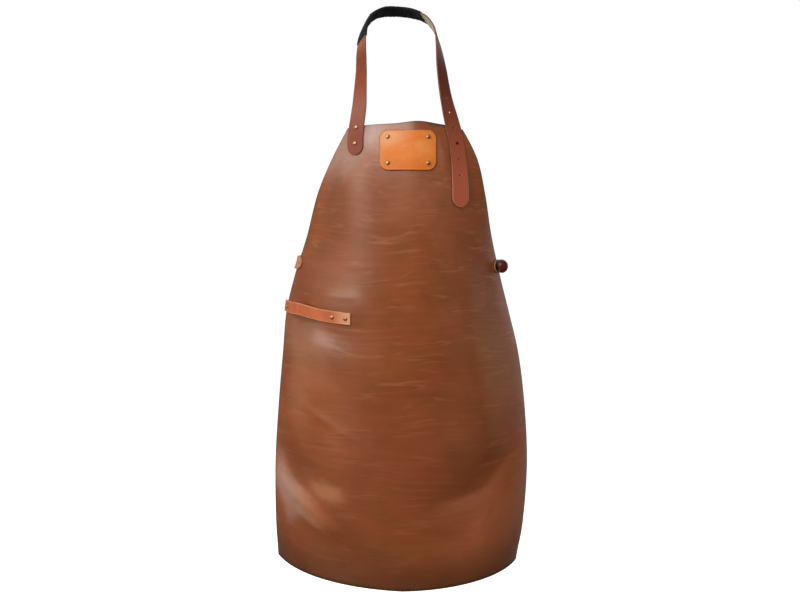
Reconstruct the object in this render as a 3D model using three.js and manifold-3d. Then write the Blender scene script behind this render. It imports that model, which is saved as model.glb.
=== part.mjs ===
// Leather apron in the form it has when it is worn: a panel with a bib, a neck strap with a padded sleeve,
// a patch, a towel strap and a waist strap. Millimetres, +Z up, front towards -Y. The origin is on the inner
// face of the neck pad, where the apron hangs on the nape.
import * as THREE from "three";
import { mergeVertices } from "three/addons/utils/BufferGeometryUtils.js";
import Module from "manifold-3d";

const wasm = await Module();
wasm.setup();

// Leather and clearances
const gap = 0.3;
const panelThick = 2;
const strapThick = 2.6;
const layLift = 0.5; // clearance under a flat strap on the curved panel
const backRoom = 0.7; // clearance between the panel's inner face and a flat disc behind it

// Panel: a row for each level below the top of the bib. front is how far back the middle lies, left and right
// are the half widths seen from the front, leftBack and rightBack how far each side edge lies behind the
// middle, and wrap is the turn of the section from the middle to the edge in degrees.
const panelColumns = 30;
const panelRows = 32;
const panelSections = [
  { below: -20, front: 40, left: 82, right: 84, leftBack: 20, rightBack: 20, wrap: 42 },
  { below: 0, front: 34, left: 92, right: 98, leftBack: 24, rightBack: 24, wrap: 44 },
  { below: 60, front: 19, left: 124, right: 130.5, leftBack: 42, rightBack: 42, wrap: 50 },
  { below: 120, front: 9, left: 151, right: 146.5, leftBack: 70, rightBack: 68, wrap: 57 },
  { below: 200, front: 2, left: 175, right: 162, leftBack: 112, rightBack: 107, wrap: 63 },
  { below: 280, front: 0, left: 203, right: 182.5, leftBack: 148, rightBack: 141, wrap: 67 },
  { below: 340, front: 1, left: 219, right: 199, leftBack: 164, rightBack: 156, wrap: 69 },
  { below: 420, front: 2, left: 228, right: 219, leftBack: 173, rightBack: 164, wrap: 70 },
  { below: 520, front: 5, left: 238, right: 233, leftBack: 177, rightBack: 167, wrap: 71 },
  { below: 640, front: 9, left: 246.5, right: 240, leftBack: 178, rightBack: 167, wrap: 71 },
  { below: 760, front: 13, left: 247, right: 233, leftBack: 177, rightBack: 164, wrap: 70 },
  { below: 850, front: 16, left: 243, right: 220, leftBack: 176, rightBack: 162, wrap: 70 },
];
const topEdge = { below: -2, leftFall: 6.6, rightFall: 9.3, power: 3.2 };
const topPeak = { turn: 0.24, fall: 4.5, spread: 0.26 };
const hem = { below: 834.5, leftRise: 8, rightRise: 3.5, power: 1.7 };

// Soft folds of the panel, which fade out at the side edges: the middle of each, its direction from the
// horizontal in degrees, its half length and half width, and how far it stands out.
const foldFade = 6;
const panelFolds = [
  { across: 26, below: 20, slant: 90, reach: 110, width: 26, rise: 5 }, // ridge at the top of the bib
  { across: -196, below: 668, slant: -32, reach: 85, width: 30, rise: 6.5 }, // lower left fold
  { across: -165, below: 745, slant: -30, reach: 110, width: 36, rise: -5 }, // hollow below it
  { across: 180, below: 618, slant: 42, reach: 75, width: 28, rise: -7 }, // lower right hollow
  { across: 105, below: 662, slant: 10, reach: 60, width: 24, rise: -4 }, // its run to the middle
  { across: 185, below: 705, slant: 48, reach: 85, width: 36, rise: 5 }, // fold below it
  { across: -138, below: 412, slant: -10, reach: 70, width: 28, rise: 3.5 }, // swell under the towel strap
  { across: -104, below: 316, slant: -8, reach: 60, width: 30, rise: 3 }, // swell above its right end
];

// Neck strap: the left end and the free right end lie on the bib, and between them a row for each station
// round the neck. facing is where the grain side looks, in degrees from the front round by the left, and lean
// how far it looks up. The stiff tip stands away from the curved bib and is turned towards the front.
const strapWidth = 29.5;
const strapStep = 9; // spacing of the sections along a strap
const strapEnd = { length: 17, least: 0.16, shares: [0, 0.06, 0.22, 0.5, 1] }; // a rounded end's sections
const leftOnBib = [
  { across: -81, below: 57 },
  { across: -82.5, below: 34 },
  { across: -80, below: 7 },
];
const roundNeck = [
  { across: -76.5, back: 50, up: 24, facing: 30, lean: 12 },
  { across: -75, back: 62, up: 52, facing: 40, lean: 15 },
  { across: -73.5, back: 83, up: 99, facing: 56, lean: 22 },
  { across: -74, back: 102, up: 133, facing: 66, lean: 28 },
  { across: -71.7, back: 126, up: 164.5, facing: 88, lean: 36 },
  { across: -60.5, back: 153, up: 192.5, facing: 126, lean: 52 },
  { across: -40, back: 175, up: 209, facing: 155, lean: 68 },
  { across: -7, back: 184, up: 212, facing: 180, lean: 73 },
  { across: 26, back: 177, up: 205.5, facing: 205, lean: 68 },
  { across: 46.3, back: 156, up: 190.5, facing: 236, lean: 48 },
  { across: 60, back: 131, up: 165, facing: 266, lean: 24 },
  { across: 65, back: 112, up: 137, facing: 285, lean: 20 },
  { across: 69, back: 90, up: 98, facing: 305, lean: 18 },
  { across: 74, back: 69, up: 56, facing: 314, lean: 16 },
  { across: 80, back: 54, up: 24, facing: 324, lean: 12 },
];
const rightOnBib = [
  { across: 86.5, below: 7 },
  { across: 93, below: 36 },
  { across: 96.5, below: 64 },
  { across: 97.8, below: 92, away: 1.6, turned: 8 },
  { across: 97.8, below: 124, away: 3.6, turned: 16 },
  { across: 97, below: 147, away: 4.1, turned: 18 },
];
const punch = { fromTip: 55, pitch: 28.3, count: 6, radius: 1.5, studHole: 2 }; // holes count from the tip
const neckRivets = [
  { name: "neck_rivet_lower", distance: 21 },
  { name: "neck_rivet_upper", distance: 50 },
];

// Neck pad: a sleeve over the strap, as distances along the strap from its left end
const pad = { from: 226, to: 407, width: 34.5, thick: 7.6, taper: 0.16, boxy: 0.6, sides: 16, steps: 18 };
const padBore = { room: 0.7, overrun: 4 };

// Patch on the bib
const patch = { across: 8, below: 49, width: 97, height: 69.5, thick: 2.4, corner: 15, columns: 12, rows: 9 };
const patchRivet = { across: 34, up: 22.5 };

// Towel strap on the left hip, from its square right end to its left end just past the panel's edge. Turns
// are the panel's own, and between bowFrom and bowTo the strap stands off the panel by bow, up by arch.
const towel = {
  width: 21.5,
  rightTurn: -0.328,
  leftTurn: -1.02,
  rightBelow: 342,
  leftBelow: 333,
  bowFrom: -0.5,
  bowTo: -0.93,
  bow: 11,
  arch: 5,
  stations: 26,
  rivetTurns: [-0.361, -0.457, -0.965],
};

// Waist strap: its ends lie on the panel's outer face at the side edges, the left one riveted and the right
// one buttoned on a knob, and between them a row for each station round the back
const waistWidth = 24.5;
const waistEnds = {
  left: { below: 250, tipTurn: -0.92, fixTurn: -0.962, edgeTurn: -1 },
  right: { below: 257, tipTurn: 0.895, fixTurn: 0.955, edgeTurn: 1 },
};
const waistEndStations = 5;
const waistEdgeLift = 0.7; // how far the strap has left the panel where it passes the edge
const waistBack = [
  { across: -198, back: 157, up: -251, facing: 80, lean: 19 },
  { across: -196, back: 190, up: -252, facing: 100, lean: 12 },
  { across: -174, back: 234, up: -251, facing: 135, lean: 8 },
  { across: -108, back: 268, up: -250, facing: 163, lean: 4 },
  { across: 0, back: 279, up: -250, facing: 180, lean: 2 },
  { across: 102, back: 268, up: -253, facing: 197, lean: 4 },
  { across: 160, back: 234, up: -258, facing: 226, lean: 8 },
  { across: 181, back: 190, up: -260, facing: 259, lean: 12 },
  { across: 184, back: 155, up: -259, facing: 280, lean: 19 },
];

// Rivets, studs and knob: turned pieces with a cap in front, a post through the leather and a disc behind
const rivet = { cap: 4, brim: 0.5, dome: 2.2, post: 1.5, disc: 3.6, discThick: 1, sides: 8 };
const stud = { cap: 2.4, brim: 0.4, dome: 1, post: 1.15, disc: 3.6, discThick: 1, sides: 8 };
const knob = { cap: 12.5, brim: 1.6, dome: 11.4, post: 2, disc: 6, discThick: 1.2, sides: 14 };
const knobNeck = { radius: 4.5, height: 5.5 };
const domeSteps = [0, 25, 48, 70, 90]; // degrees from the top of a cap
const drill = { length: 24, sides: 8 };

// Where the nape bears on the inner face of the pad, from the middle of the bib's top edge
const nape = { across: 0, back: 182, up: 206 };

const leatherBrown = { color: 0x86482a, roughness: 0.45, metalness: 0 };
const leatherStrap = { color: 0x8f4a30, roughness: 0.5, metalness: 0 };
const leatherTowel = { color: 0xb9643f, roughness: 0.5, metalness: 0 };
const leatherTan = { color: 0xdd8a3e, roughness: 0.55, metalness: 0 };
const leatherDark = { color: 0x4c2117, roughness: 0.4, metalness: 0 };
const fabricBlack = { color: 0x15191c, roughness: 0.95, metalness: 0 };
const brassOld = { color: 0x8a6a3c, roughness: 0.35, metalness: 1 };

// A smooth curve through a table: gives every column at the value asked for in the first one
function tableCurve(rows) {
  const columns = Object.keys(rows[0]);
  const [key, ...rest] = columns;
  const positions = rows.map((row) => row[key]);
  const values = rows.flatMap((row) => rest.map((name) => row[name]));
  const curve = new THREE.CubicInterpolant(positions, values, rest.length);
  return (at) => {
    const result = curve.evaluate(at);
    return Object.fromEntries(rest.map((name, i) => [name, result[i]]));
  };
}

const sectionAt = tableCurve(panelSections);
const radians = THREE.MathUtils.degToRad;

// How far the soft folds push the panel out at a place seen from the front
function foldRise(across, below) {
  return panelFolds.reduce((sum, fold) => {
    const slant = radians(fold.slant);
    const dx = across - fold.across;
    const dz = fold.below - below;
    const along = (dx * Math.cos(slant) + dz * Math.sin(slant)) / fold.reach;
    const aside = (dz * Math.cos(slant) - dx * Math.sin(slant)) / fold.width;
    return sum + fold.rise * Math.exp(-along * along - aside * aside);
  }, 0);
}

// Point of the panel's outer face: turn runs from -1 at the left edge to 1 at the right edge
function panelPoint(turn, below) {
  const section = sectionAt(below);
  const wide = turn < 0 ? section.left : section.right;
  const back = turn < 0 ? section.leftBack : section.rightBack;
  const wrap = radians(section.wrap);
  const angle = Math.abs(turn) * wrap;
  const across = (Math.sign(turn) * wide * Math.sin(angle)) / Math.sin(wrap);
  const depth = section.front + (back * (1 - Math.cos(angle))) / (1 - Math.cos(wrap));
  const rise = foldRise(across, below) * (1 - Math.abs(turn) ** foldFade);
  const outX = Math.sign(turn) * Math.sin(angle) * rise;
  const outY = -Math.cos(angle) * rise;
  return new THREE.Vector3(across + outX, depth + outY, -below);
}

// Level of the top edge, which falls from its low peak and then to the corners
function topBelow(turn) {
  const beside = turn - topPeak.turn;
  const fall = beside < 0 ? topEdge.leftFall : topEdge.rightFall;
  const share = Math.abs(beside) / (beside < 0 ? 1 + topPeak.turn : 1 - topPeak.turn);
  const offPeak = topPeak.fall * (1 - Math.exp(-((beside / topPeak.spread) ** 2)));
  return topEdge.below + offPeak + fall * share ** topEdge.power;
}

// Level of the hem, which rises a little from its middle to the corners
function hemBelow(turn) {
  const rise = turn < 0 ? hem.leftRise : hem.rightRise;
  return hem.below - rise * (1 - (1 - Math.abs(turn)) ** hem.power);
}

// Outward normal of the panel there
function panelNormal(turn, below) {
  const step = 0.01;
  const reach = 2;
  const side = panelPoint(turn + step, below).sub(panelPoint(turn - step, below));
  const down = panelPoint(turn, below + reach).sub(panelPoint(turn, below - reach));
  return down.cross(side).normalize();
}

// A place at a height off the panel, with the panel's normal
function offPanel(turn, below, lift) {
  const normal = panelNormal(turn, below);
  return { point: panelPoint(turn, below).addScaledVector(normal, lift), normal };
}

// The turn that a distance from the middle plane has at a level
function turnAt(across, below) {
  const section = sectionAt(below);
  const wide = across < 0 ? section.left : section.right;
  const wrap = radians(section.wrap);
  return Math.asin((across / wide) * Math.sin(wrap)) / wrap;
}

// Moves every vertex of a geometry
function reshape(geometry, place) {
  const position = geometry.getAttribute("position");
  const vertex = new THREE.Vector3();
  for (let i = 0; i < position.count; i += 1) {
    vertex.fromBufferAttribute(position, i);
    position.setXYZ(i, ...place(vertex).toArray());
  }
  return geometry;
}

function solidOf(geometry) {
  const bare = geometry.clone();
  bare.deleteAttribute("normal");
  bare.deleteAttribute("uv");
  const merged = mergeVertices(bare, 1e-3);
  return new wasm.Manifold(
    new wasm.Mesh({
      numProp: 3,
      vertProperties: merged.getAttribute("position").array,
      triVerts: new Uint32Array(merged.index.array),
    }),
  );
}

function geometryOf(solid) {
  const mesh = solid.getMesh();
  const geometry = new THREE.BufferGeometry();
  geometry.setAttribute("position", new THREE.BufferAttribute(mesh.vertProperties, 3));
  geometry.setIndex(new THREE.BufferAttribute(mesh.triVerts, 1));
  const faceted = geometry.toNonIndexed();
  faceted.computeVertexNormals();
  return faceted;
}

// Cuts a round hole for each place through a geometry
function pierce(geometry, places) {
  const turned = new THREE.Quaternion();
  const axis = new THREE.Vector3(0, 1, 0);
  const cut = places.reduce((solid, { point, normal, radius }) => {
    const bore = new THREE.CylinderGeometry(radius, radius, drill.length, drill.sides);
    bore.applyQuaternion(turned.setFromUnitVectors(axis, normal));
    bore.translate(...point.toArray());
    return solid.subtract(solidOf(bore));
  }, solidOf(geometry));
  return geometryOf(cut);
}

const apron = new THREE.Group();
apron.position.set(-nape.across, -nape.back, -nape.up);

function addPiece(name, geometry, finish) {
  const mesh = new THREE.Mesh(geometry, new THREE.MeshStandardMaterial(finish));
  mesh.name = name;
  apron.add(mesh);
  return mesh;
}

// A path that a strap follows, with the direction its grain side looks in
function strapPath(rows) {
  const curve = new THREE.CatmullRomCurve3(rows.map((row) => row.point));
  curve.arcLengthDivisions = 600;
  const spans = rows.length - 1;
  return {
    length: curve.getLength(),
    at(distance) {
      const t = curve.getUtoTmapping(0, distance);
      const point = curve.getPoint(t);
      const tangent = curve.getTangent(t);
      const span = Math.min(Math.floor(t * spans), spans - 1);
      const normal = rows[span].normal.clone().lerp(rows[span + 1].normal, t * spans - span);
      normal.addScaledVector(tangent, -normal.dot(tangent)).normalize();
      const across = tangent.clone().cross(normal);
      return { point, normal, across };
    },
  };
}

// Where a station of a path lies: the outer face is on the -y side of the piece that is bent
function alongPath(path, distance, across, inward) {
  const place = path.at(distance);
  return place.point.addScaledVector(place.across, across).addScaledVector(place.normal, -inward);
}

// Half width of a strap at a distance from an end that is rounded
function roundedHalf(halfWidth, fromEnd) {
  const short = Math.max(1 - fromEnd / strapEnd.length, 0);
  return halfWidth * Math.max(Math.sqrt(1 - short * short), strapEnd.least);
}

// Distances of the sections along a strap, closer together in its rounded ends
function strapStations(length, startRound, endRound) {
  const closeUp = strapEnd.shares.map((share) => share * strapEnd.length);
  const start = startRound ? closeUp : [0];
  const end = (endRound ? closeUp : [0]).map((share) => length - share).reverse();
  const from = start.at(-1);
  const span = end[0] - from;
  const count = Math.round(span / strapStep);
  const middle = Array.from({ length: count - 1 }, (_, i) => from + (span * (i + 1)) / count);
  return [...start, ...middle, ...end];
}

// A flat strap bent along a path
function strapGeometry(path, width, startRound, endRound) {
  const stations = strapStations(path.length, startRound, endRound);
  const count = stations.length - 1;
  return reshape(new THREE.BoxGeometry(1, 1, 1, 1, 1, count), (v) => {
    const distance = stations[Math.round((v.z + 0.5) * count)];
    const atStart = startRound ? roundedHalf(width / 2, distance) : width / 2;
    const atEnd = endRound ? roundedHalf(width / 2, path.length - distance) : width / 2;
    return alongPath(path, distance, 2 * v.x * Math.min(atStart, atEnd), v.y * strapThick);
  });
}

// A turned fastener: profile from the top of its cap to the middle of the disc behind, as radius and height
// above the outer leather
function fastenerProfile(size, grip, neck) {
  const neckTop = neck ? neck.height : 0;
  const arc = domeSteps.map((degrees) => {
    const angle = radians(degrees);
    return [size.cap * Math.sin(angle), neckTop + size.brim + size.dome * Math.cos(angle)];
  });
  const stem = neck ? [[neck.radius, neckTop], [neck.radius, 0]] : [];
  const below = -grip - gap - backRoom;
  const disc = [[size.disc, below], [size.disc, below - size.discThick], [0, below - size.discThick]];
  const post = [[size.post, 0], [size.post, below]];
  return [...arc, [size.cap, neckTop], ...stem, ...post, ...disc];
}

// Sets a fastener on a place of the outer face; grip is all the leather and clearance that it holds
function addFastener(name, size, place, grip, finish, neck) {
  const profile = fastenerProfile(size, grip, neck).reverse();
  const points = profile.map(([radius, height]) => new THREE.Vector2(radius, height));
  const mesh = addPiece(name, new THREE.LatheGeometry(points, size.sides), finish);
  mesh.position.copy(place.point).addScaledVector(place.normal, gap);
  mesh.quaternion.setFromUnitVectors(new THREE.Vector3(0, 1, 0), place.normal);
  return { point: place.point, normal: place.normal, radius: size.post + gap };
}

// Neck strap
const halfThick = strapThick / 2;
const upward = new THREE.Vector3(0, 0, 1);
const strapOnBib = ({ across, below, away = 0, turned = 0 }) => {
  const place = offPanel(turnAt(across, below), below, layLift + halfThick + away);
  place.normal.applyAxisAngle(upward, -radians(turned));
  return place;
};
const lookOf = ({ facing, lean = 0 }) => {
  const level = Math.cos(radians(lean));
  const east = -Math.sin(radians(facing)) * level;
  const north = -Math.cos(radians(facing)) * level;
  return new THREE.Vector3(east, north, Math.sin(radians(lean)));
};
const inFree = (row) => ({ point: new THREE.Vector3(row.across, row.back, row.up), normal: lookOf(row) });
const neckPath = strapPath([
  ...leftOnBib.map(strapOnBib),
  ...roundNeck.map(inFree),
  ...rightOnBib.map(strapOnBib),
]);
const strapGrip = strapThick + layLift + panelThick;
const outerFace = (path, distance) => {
  const { point, normal } = path.at(distance);
  return { point: point.addScaledVector(normal, halfThick), normal };
};
const neckHoles = [];
const panelHoles = [];
neckRivets.forEach(({ name, distance }) => {
  const hole = addFastener(name, rivet, outerFace(neckPath, distance), strapGrip, brassOld);
  neckHoles.push(hole);
  panelHoles.push(hole);
});
for (let i = 0; i < punch.count; i += 1) {
  const place = outerFace(neckPath, neckPath.length - punch.fromTip - i * punch.pitch);
  neckHoles.push({ ...place, radius: punch.radius });
  if (i === punch.studHole) {
    panelHoles.push(addFastener("neck_stud", stud, place, strapGrip, brassOld));
  }
}
addPiece("neck_strap", pierce(strapGeometry(neckPath, strapWidth, true, true), neckHoles), leatherStrap);

// Neck pad
const padTube = new THREE.CylinderGeometry(1, 1, 1, pad.sides, pad.steps).rotateX(Math.PI / 2);
const padSolid = reshape(padTube, (v) => {
  const share = v.z + 0.5;
  const swell = 1 - pad.taper * (2 * share - 1) ** 4;
  const boxy = (value) => Math.sign(value) * Math.abs(value) ** pad.boxy;
  const distance = THREE.MathUtils.lerp(pad.from, pad.to, share);
  return alongPath(neckPath, distance, (boxy(v.x) * pad.width) / 2, (boxy(v.y) * pad.thick * swell) / 2);
});
const boreSolid = reshape(new THREE.BoxGeometry(1, 1, 1, 2, 1, pad.steps + 2), (v) => {
  const { room, overrun } = padBore;
  const distance = THREE.MathUtils.lerp(pad.from - overrun, pad.to + overrun, v.z + 0.5);
  return alongPath(neckPath, distance, v.x * (strapWidth + 2 * room), v.y * (strapThick + 2 * room));
});
addPiece("neck_pad", geometryOf(solidOf(padSolid).subtract(solidOf(boreSolid))), fabricBlack);

// Patch
const patchTop = layLift + patch.thick;
const onPatch = (across, up, lift) => {
  const below = patch.below - up;
  return offPanel(turnAt(patch.across + across, below), below, lift);
};
const patchSolid = reshape(new THREE.BoxGeometry(2, 1, 2, patch.columns, 1, patch.rows), (v) => {
  const halfWide = patch.width / 2;
  const halfHigh = patch.height / 2;
  const cornerX = Math.abs(v.x) * halfWide - (halfWide - patch.corner);
  const cornerZ = Math.abs(v.z) * halfHigh - (halfHigh - patch.corner);
  let across = v.x * halfWide;
  let up = v.z * halfHigh;
  if (cornerX > 0 && cornerZ > 0) {
    const pull = Math.max(cornerX, cornerZ) / Math.hypot(cornerX, cornerZ);
    across = Math.sign(v.x) * (halfWide - patch.corner + cornerX * pull);
    up = Math.sign(v.z) * (halfHigh - patch.corner + cornerZ * pull);
  }
  return onPatch(across, up, layLift + (0.5 - v.y) * patch.thick).point;
});
const patchHoles = [];
[[-1, 1], [1, 1], [-1, -1], [1, -1]].forEach(([side, level], i) => {
  const place = onPatch(side * patchRivet.across, level * patchRivet.up, patchTop);
  const hole = addFastener(`patch_rivet_${i + 1}`, rivet, place, patchTop + panelThick, brassOld);
  patchHoles.push(hole);
  panelHoles.push(hole);
});
addPiece("patch", pierce(patchSolid, patchHoles), leatherTan);

// Towel strap
const strapOffPanel = ({ turn, below, lift }) => offPanel(turn, below, lift + halfThick);
const towelStation = (turn) => {
  const share = (turn - towel.rightTurn) / (towel.leftTurn - towel.rightTurn);
  const bowShare = THREE.MathUtils.clamp((turn - towel.bowFrom) / (towel.bowTo - towel.bowFrom), 0, 1);
  const off = Math.sin(Math.PI * bowShare) ** 2;
  const level = THREE.MathUtils.lerp(towel.rightBelow, towel.leftBelow, share);
  return { turn, below: level - towel.arch * off, lift: layLift + towel.bow * off };
};
const towelTurns = Array.from({ length: towel.stations + 1 }, (_, i) =>
  THREE.MathUtils.lerp(towel.rightTurn, towel.leftTurn, i / towel.stations),
);
const towelPath = strapPath(towelTurns.map(towelStation).map(strapOffPanel));
const towelHoles = towel.rivetTurns.map((rivetTurn, i) => {
  const { turn, below, lift } = towelStation(rivetTurn);
  const place = offPanel(turn, below, lift + strapThick);
  return addFastener(`towel_rivet_${i + 1}`, rivet, place, strapGrip, brassOld);
});
panelHoles.push(...towelHoles);
const towelSolid = strapGeometry(towelPath, towel.width, false, false);
addPiece("towel_strap", pierce(towelSolid, towelHoles), leatherTowel);

// Waist strap
const waistLift = ({ tipTurn, edgeTurn }, turn) =>
  layLift + waistEdgeLift * ((turn - tipTurn) / (edgeTurn - tipTurn)) ** 2;
const waistEndRows = (end) =>
  Array.from({ length: waistEndStations }, (_, i) => {
    const turn = THREE.MathUtils.lerp(end.tipTurn, end.edgeTurn, i / (waistEndStations - 1));
    return strapOffPanel({ turn, below: end.below, lift: waistLift(end, turn) });
  });
const waistPath = strapPath([
  ...waistEndRows(waistEnds.left),
  ...waistBack.map(inFree),
  ...waistEndRows(waistEnds.right).reverse(),
]);
const addWaistFastener = (name, size, end, finish, neck) => {
  const top = waistLift(end, end.fixTurn) + strapThick;
  return addFastener(name, size, offPanel(end.fixTurn, end.below, top), top + panelThick, finish, neck);
};
const waistHoles = [
  addWaistFastener("waist_rivet", stud, waistEnds.left, brassOld),
  addWaistFastener("waist_knob", knob, waistEnds.right, leatherDark, knobNeck),
];
panelHoles.push(...waistHoles);
addPiece("waist_strap", pierce(strapGeometry(waistPath, waistWidth, true, true), waistHoles), leatherStrap);

// Panel
const panelSolid = reshape(new THREE.BoxGeometry(2, 1, 1, panelColumns, 1, panelRows), (v) => {
  const below = THREE.MathUtils.lerp(hemBelow(v.x), topBelow(v.x), v.z + 0.5);
  return offPanel(v.x, below, -(v.y + 0.5) * panelThick).point;
});
addPiece("apron_body", pierce(panelSolid, panelHoles), leatherBrown);

const root = new THREE.Group();
root.add(apron);

export default root;
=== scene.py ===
import math

import bpy
import numpy as np
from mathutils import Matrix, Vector
from mathutils.geometry import delaunay_2d_cdt


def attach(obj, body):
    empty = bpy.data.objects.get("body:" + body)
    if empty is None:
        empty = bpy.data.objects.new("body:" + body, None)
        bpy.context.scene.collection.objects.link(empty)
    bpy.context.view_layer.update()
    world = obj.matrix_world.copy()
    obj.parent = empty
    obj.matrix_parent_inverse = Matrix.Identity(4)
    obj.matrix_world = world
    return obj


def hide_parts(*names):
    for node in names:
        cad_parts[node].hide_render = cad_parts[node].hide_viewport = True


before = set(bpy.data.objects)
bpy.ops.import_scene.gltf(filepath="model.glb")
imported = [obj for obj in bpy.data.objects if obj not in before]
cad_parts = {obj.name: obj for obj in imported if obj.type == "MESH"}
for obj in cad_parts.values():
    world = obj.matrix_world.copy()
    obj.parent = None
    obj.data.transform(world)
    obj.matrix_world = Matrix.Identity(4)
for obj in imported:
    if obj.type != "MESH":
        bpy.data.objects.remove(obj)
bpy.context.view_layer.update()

print("frame loaded:", len(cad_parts), "nodes")

# Shapes are in millimetres from the middle of the bib's top edge: x to the right, y back, z up
nape = np.array((0.0, 182.0, 206.0))  # where the apron hangs, which is the frame's origin
mm = 0.001
fullTurn = 6.28  # radians, for the phases of waves drawn at random
white = (1.0, 1.0, 1.0, 1.0)


def toFrame(points):
    return (np.asarray(points, float) - nape) * mm


# Camera, light and floor

shot = {
    "eye": (-5.0, -1800.0, -125.96),
    "tiltDown": 5.73,  # degrees
    "lens": 47.09,
    "sensor": 36.0,
}
studio = {
    "floorBelow": 1290.0,  # under the bib's top edge
    "floorHalf": 14.0,  # metres
    "floorGlow": 0.74,
    "floorGreys": (0.86, 0.90),
    "backdrop": 1.0,
    "lampColour": (1.0, 0.93, 0.84),
    "skyLight": 0.34,
    "groundLight": 0.11,
    "skyRise": (-0.35, 0.55),  # heights of a direction between which ground turns into sky
    "rightShade": 0.45,  # the room is darker to the right
    "shadeRise": (0.1, 0.9),
    "wallLight": 0.6,  # pale wall behind, which only shows in grazing reflections
    "wallRise": ((-0.7, 0.3), (0.15, 0.85), (-0.6, 0.3)),  # to the right, behind and up
    # place in metres from the origin, target, width, height, watts, whether the sheen shows it
    "lamps": {
        "keyBox": ((-1.95, -1.85, 0.05), (-0.05, -0.10, -0.5), 1.0, 1.2, 11, True),
        "topBox": ((-0.9, -1.85, 1.1), (-0.05, -0.12, -0.25), 1.4, 0.6, 24, True),
        "sideBox": ((-2.1, -0.55, -0.42), (-0.2, -0.05, -0.75), 1.1, 0.4, 4.5, True),
        "rightFill": ((2.1, -1.4, -0.5), (0.05, -0.08, -0.6), 1.5, 1.6, 14, False),
        "leftFill": ((-2.0, -1.8, -0.8), (0.0, -0.08, -0.6), 1.5, 1.6, 7, False),
        "backFill": ((-0.9, 2.3, 0.1), (0.0, 0.0, -0.6), 1.6, 1.6, 20, False),
    },
}


def makeCamera():
    data = bpy.data.cameras.new("shotCamera")
    data.sensor_width = shot["sensor"]
    data.lens = shot["lens"]
    camera = bpy.data.objects.new("shotCamera", data)
    camera.location = toFrame(shot["eye"])
    camera.rotation_euler = (math.radians(90 - shot["tiltDown"]), 0, 0)
    bpy.context.collection.objects.link(camera)
    bpy.context.scene.camera = camera


def makeLamps():
    for name, (place, target, width, height, watts, shiny) in studio["lamps"].items():
        data = bpy.data.lights.new(name, "AREA")
        data.shape = "RECTANGLE"
        data.size, data.size_y, data.energy, data.color = width, height, watts, studio["lampColour"]
        lamp = bpy.data.objects.new(name, data)
        lamp.location = place
        lamp.visible_camera = False
        lamp.visible_glossy = shiny
        lamp.rotation_euler = (Vector(target) - Vector(place)).to_track_quat("-Z", "Y").to_euler()
        bpy.context.collection.objects.link(lamp)


# Shader maths

class Wire:  # a socket of a node tree, with the operators that shader maths needs
    def __init__(self, tree, socket=None):
        self.tree, self.socket = tree, socket

    def node(self, kind, settings, sockets, output=0):
        made = self.tree.nodes.new(kind)
        for name, value in settings.items():
            setattr(made, name, value)
        for key, value in sockets.items():
            if isinstance(value, Wire):
                self.tree.links.new(value.socket, made.inputs[key])
            else:
                made.inputs[key].default_value = value
        return Wire(self.tree, made.outputs[output])

    def maths(self, operation, first, second=0.0):
        return self.node("ShaderNodeMath", {"operation": operation}, {0: first, 1: second})

    def vector(self, operation, *others, output=0):
        sockets = dict(enumerate((self, *others)))
        return self.node("ShaderNodeVectorMath", {"operation": operation}, sockets, output)

    def __add__(self, other):
        return self.maths("ADD", self, other)

    def __sub__(self, other):
        return self.maths("SUBTRACT", self, other)

    def __rsub__(self, other):
        return self.maths("SUBTRACT", other, self)

    def __mul__(self, other):
        return self.maths("MULTIPLY", self, other)

    __radd__ = __add__
    __rmul__ = __mul__

    def axis(self, which):  # x, y or z of a place
        return self.node("ShaderNodeSeparateXYZ", {}, {0: self}, which)

    def ramp(self, low, high):  # 0 at low, 1 at high, smooth between
        sockets = {"Value": self, "From Min": low, "From Max": high}
        return self.node("ShaderNodeMapRange", {"interpolation_type": "SMOOTHSTEP"}, sockets)

    def tint(self, first, second):  # from the first colour to the second as this goes from 0 to 1
        sockets = {0: self, 6: first, 7: second}
        return self.node("ShaderNodeMix", {"data_type": "RGBA"}, sockets, 2)

    def stretch(self, *scale):
        return self.vector("MULTIPLY", scale)

    def noise(self, scale, detail=2.0, rough=0.5, warp=0.0, output=0):
        sockets = {"Vector": self, "Scale": scale, "Detail": detail, "Roughness": rough}
        sockets["Distortion"] = warp
        return self.node("ShaderNodeTexNoise", {}, sockets, output)

    def astray(self, reach):  # places moved at random, which makes outlines drawn on them ragged
        colour = self.stretch(1.0, 1.7, 1.0).noise(13.0, detail=4.0, rough=0.6, output=1)
        aside = colour.vector("SUBTRACT", (0.5, 0.5, 0.5)).stretch(reach, reach, 0.0)
        return self.vector("ADD", aside)

    def cells(self, scale):
        return self.node("ShaderNodeTexVoronoi", {}, {"Vector": self, "Scale": scale})

    def spot(self, across, down, slant, reach, high):  # 1 in the middle of a soft oval, 0 outside
        place = {"Vector": self, "Location": (across, down, 0.0), "Scale": (reach, high, 1.0)}
        place["Rotation"] = (0.0, 0.0, math.radians(slant))
        oval = self.node("ShaderNodeMapping", {"vector_type": "TEXTURE"}, place)
        return 1.0 - oval.vector("LENGTH", output=1).ramp(0.2, 1.3)

    def bump(self, strength, depth):  # depth in metres
        sockets = {"Height": self, "Strength": strength, "Distance": depth}
        return self.node("ShaderNodeBump", {}, sockets)


def rgb(*screen):  # screen colour, 0 to 255, as a linear one
    def linear(value):
        return ((value / 255 + 0.055) / 1.055) ** 2.4 if value > 10 else value / 3294.6

    return *(linear(value) for value in screen), 1.0


def newMaterial(name, constants):
    material = bpy.data.materials.new(name)
    material.use_nodes = True
    shader = material.node_tree.nodes["Principled BSDF"]
    for socket, value in constants.items():
        shader.inputs[socket].default_value = value

    def feed(socket, wire):
        material.node_tree.links.new(wire.socket, shader.inputs[socket])

    return material, Wire(material.node_tree), feed


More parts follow.
